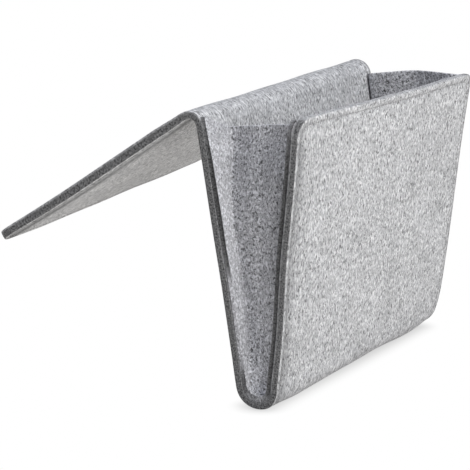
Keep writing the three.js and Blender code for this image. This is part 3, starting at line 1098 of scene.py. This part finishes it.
for piece in (lower_felt, front_stitches, left_stitches, right_stitches):
    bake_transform(piece)
for piece in (upper_felt, flap_stitches):
    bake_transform(piece)
for piece in (left_gusset, right_gusset):
    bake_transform(piece)

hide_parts("front_panel", "bottom_bend", "back_panel")
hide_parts("flap", "top_bend")
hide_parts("left_gusset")
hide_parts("right_gusset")
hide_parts("front_thread")
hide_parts("left_side_thread")
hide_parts("right_side_thread")
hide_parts("flap_thread")


# Stage, light and camera

CAMERA_AZIMUTH = radians(-60.847)
CAMERA_ELEVATION = radians(12.978)
CAMERA_DISTANCE = 2.0674
CAMERA_TARGET = Vector((-0.100566, -0.105194, -0.050378))

# The lens comes from a focal length in pixels and the photograph's width
SENSOR_WIDTH = 36
FOCAL_PIXELS, PHOTO_PIXELS = 2432.9, 470
CAMERA_LENS = SENSOR_WIDTH * FOCAL_PIXELS / PHOTO_PIXELS

# Light from the background and from the floor, and the floor's own colour
WORLD_LIGHT = (0.262, 0.278, 0.33, 1.0)
FLOOR_LIGHT = grey(0.96, (1, 0.974, 0.935))
FLOOR_COLOUR = (0.72, 0.7, 0.67)
FLOOR_REACH = 12

# The line that the caddy stands on: how far towards the bed it lies from the centre of the bottom bend, and
# how far short of the caddy's ends it stops
STAND_OFFSET, STAND_SHORT = 0.003, 0.014


def aim(thing, spot):
    thing.rotation_euler = (spot - thing.location).to_track_quat("-Z", "Y").to_euler()


def camera():
    made = bpy.data.objects.new("camera", bpy.data.cameras.new("camera"))
    bpy.context.scene.collection.objects.link(made)
    level = cos(CAMERA_ELEVATION)
    way = Vector((sin(CAMERA_AZIMUTH) * level, -cos(CAMERA_AZIMUTH) * level, sin(CAMERA_ELEVATION)))
    made.location = CAMERA_TARGET + way * CAMERA_DISTANCE
    aim(made, CAMERA_TARGET)
    made.data.sensor_width = SENSOR_WIDTH
    made.data.lens = CAMERA_LENS
    made.data.clip_end = 50
    bpy.context.scene.camera = made


def softbox(name, way, distance, size, power):
    lamp = bpy.data.lights.new(name, "AREA")
    lamp.size = size
    lamp.energy = power
    made = bpy.data.objects.new(name, lamp)
    bpy.context.scene.collection.objects.link(made)
    made.location = CAMERA_TARGET + Vector(way).normalized() * distance
    aim(made, CAMERA_TARGET)


def shown_white(tree):
    """1 for the rays that show the background: camera, glossy and transmission rays."""
    path = node(tree, "LightPath", {}).outputs
    total = path["Is Camera Ray"]
    for name in ("Is Glossy Ray", "Is Transmission Ray"):
        total = maths(tree, "MAXIMUM", total, path[name])
    return total


def for_rays(tree, shown, other):
    """One colour for the rays that show the background, and another for the light it gives."""
    return mix(tree, other, shown, shown_white(tree))


def world(light):
    made = bpy.data.worlds.new("studio")
    bpy.context.scene.world = made
    made.use_nodes = True
    tree = made.node_tree
    fill(tree, tree.nodes["Background"], {"Color": for_rays(tree, grey(1), light)})


def floor():
    """White floor with a soft contact shadow under the caddy, partly rendered and partly painted into its
    colour.
    """
    mesh = bpy.data.meshes.new("floor")
    ends = (-FLOOR_REACH, FLOOR_REACH)
    mesh.from_pydata([(x, y, FLOOR_LEVEL) for y in ends for x in ends], [], [(0, 1, 3, 2)])
    made = bpy.data.objects.new("floor", mesh)
    bpy.context.scene.collection.objects.link(made)
    paint, tree, shader = material("floor")

    def moved(operation, value, by=(0, 0, 0)):
        return node(tree, "VectorMath", {0: value, 1: by}, operation=operation).outputs[0]

    # Distance from the line that the caddy stands on
    place = node(tree, "NewGeometry", {}).outputs["Position"]
    from_line = moved("SUBTRACT", place, (0, BOTTOM_CENTRE.y + STAND_OFFSET, FLOOR_LEVEL))
    past_end = moved("SUBTRACT", moved("ABSOLUTE", from_line), (HALF_WIDTH - STAND_SHORT, 0, 0))
    outside = moved("MAXIMUM", past_end)
    distance = node(tree, "VectorMath", {0: outside}, operation="LENGTH").outputs["Value"]

    def rising(start, end, low, high):
        return mapped(tree, distance, (start, end), (low, high), "SMOOTHSTEP")

    # The floor glows, less so close to the line, and by another share where it is seen than where it lights.
    # Close to the line its colour is also painted darker, as shadow under the caddy
    fill(tree, shader, {
        "Base Color": scaled(tree, FLOOR_COLOUR, rising(0.0, 0.05, 0.3, 1.0)),
        "Roughness": 1,
        "Specular IOR Level": 0,
    })
    glow = node(tree, "Emission", {"Color": for_rays(tree, grey(1), FLOOR_LIGHT)}).outputs[0]
    lights = rising(0.008, 0.07, 0.0, 0.65)
    seen = rising(0.002, 0.030, 0.61, 1.0)
    share = node(tree, "Mix", {"Factor": shown_white(tree), "A": lights, "B": seen}, data_type="FLOAT")
    both = node(tree, "MixShader", {0: share.outputs["Result"], 1: shader.outputs[0], 2: glow})
    fill(tree, tree.nodes["Material Output"], {"Surface": both.outputs[0]})
    mesh.materials.append(paint)


camera()
floor()
world(WORLD_LIGHT)
softbox("key", way=(-0.40, -0.79, 0.45), distance=2.4, size=0.9, power=36)
softbox("top", way=(0.1, -0.25, 1.0), distance=2.4, size=2.0, power=20)
bpy.context.scene.view_settings.view_transform = "Standard"
